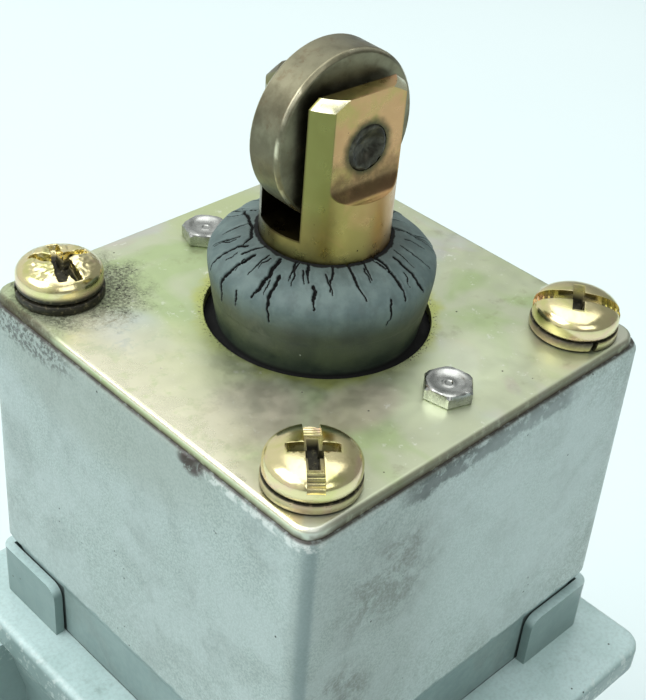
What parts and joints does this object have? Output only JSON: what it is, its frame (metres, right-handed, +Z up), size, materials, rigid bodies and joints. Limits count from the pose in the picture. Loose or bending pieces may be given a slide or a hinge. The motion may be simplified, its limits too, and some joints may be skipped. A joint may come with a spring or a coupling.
{
  "type": "limit switch",
  "caption": "Heavy-duty metal limit switch with a square head, a rubber-booted sprung plunger and a steel roller, and a contact block under a screwed cover.",
  "frame": {"origin": "centre of the cable entry's mouth in the base of the body, on the plunger's axis", "axes": "+Z up the plunger's axis towards the roller, +Y out of the fixing back, -Y out of the front cover"},
  "size_m": [0.078, 0.067, 0.1695],
  "materials": {
    "casting_paint": "semi-gloss grey-green enamel over a die casting, fine orange peel",
    "gasket_rubber": "matt black nitrile rubber",
    "plated_steel": "bright zinc plating",
    "yellow_zinc_plate": "yellow passivated zinc, iridescent",
    "yellow_zinc_bar": "yellow passivated zinc on a turned bar",
    "yellow_zinc_screws": "glossy yellow passivated zinc",
    "bronze": "turned bearing bronze",
    "bare_steel": "turned steel",
    "spring_steel": "drawn spring wire",
    "pin_steel": "dark oiled steel, staked end",
    "roller_steel": "turned and hardened steel, dull",
    "boot_rubber": "aged, cracked nitrile rubber",
    "brown_moulding": "phenolic moulding",
    "black_moulding": "phenolic moulding",
    "contact_brass": "pressed brass with silver tips"
  },
  "bodies": {
    "housing": {"body_casting": "casting_paint", "cover_gasket": "gasket_rubber", "front_cover": "casting_paint", "cover_screws": "plated_steel", "head_gasket": "gasket_rubber", "head_casting": "casting_paint", "head_plate": "yellow_zinc_plate", "head_screws": "yellow_zinc_screws", "spring_washers": "yellow_zinc_screws", "plate_bolts": "plated_steel", "guide_bush": "bronze", "anti_turn_pin": "bare_steel", "spring_seat": "bare_steel", "seat_ring": "spring_steel", "rod_seal": "gasket_rubber", "return_spring": "spring_steel", "boot": "boot_rubber", "block_base": "brown_moulding", "block_cover": "black_moulding", "block_cover_screws": "plated_steel", "block_screws": "plated_steel", "nc_fixed_contacts": "contact_brass", "no_fixed_contacts": "contact_brass", "terminal_clamps": "plated_steel", "terminal_screws": "plated_steel", "carrier_spring": "spring_steel", "earth_screw": "yellow_zinc_screws", "earth_washer": "yellow_zinc_screws"},
    "plunger": {"plunger": "yellow_zinc_bar", "push_rod": "bare_steel", "roller_pin": "pin_steel"},
    "roller": {"roller": "roller_steel", "roller_bush": "bronze"},
    "contact_carrier": {"contact_carrier": "brown_moulding", "nc_bridge": "contact_brass", "no_bridge": "contact_brass", "contact_springs": "spring_steel"}
  },
  "joints": [
    {"name": "plunger_slide", "type": "slide", "parent": "housing", "child": "plunger", "axis": [0, 0, -1], "range_m": [0, 0.0055], "stiffness_N_per_m": 1800, "springref_m": -0.0083, "deforming": ["return_spring", "boot"]},
    {"name": "roller_spin", "type": "hinge", "parent": "plunger", "child": "roller", "pos_m": [0, 0, 0.1605], "axis": [0.0523, 0.9986, 0], "continuous": true},
    {"name": "carrier_slide", "type": "slide", "parent": "housing", "child": "contact_carrier", "axis": [0, 0, -1], "range_m": [0, 0.0055], "stiffness_N_per_m": 250, "springref_m": -0.004, "deforming": ["carrier_spring"]}
  ],
  "couplings": [
    {"joint": "carrier_slide", "follows": "plunger_slide", "ratio": 1}
  ]
}
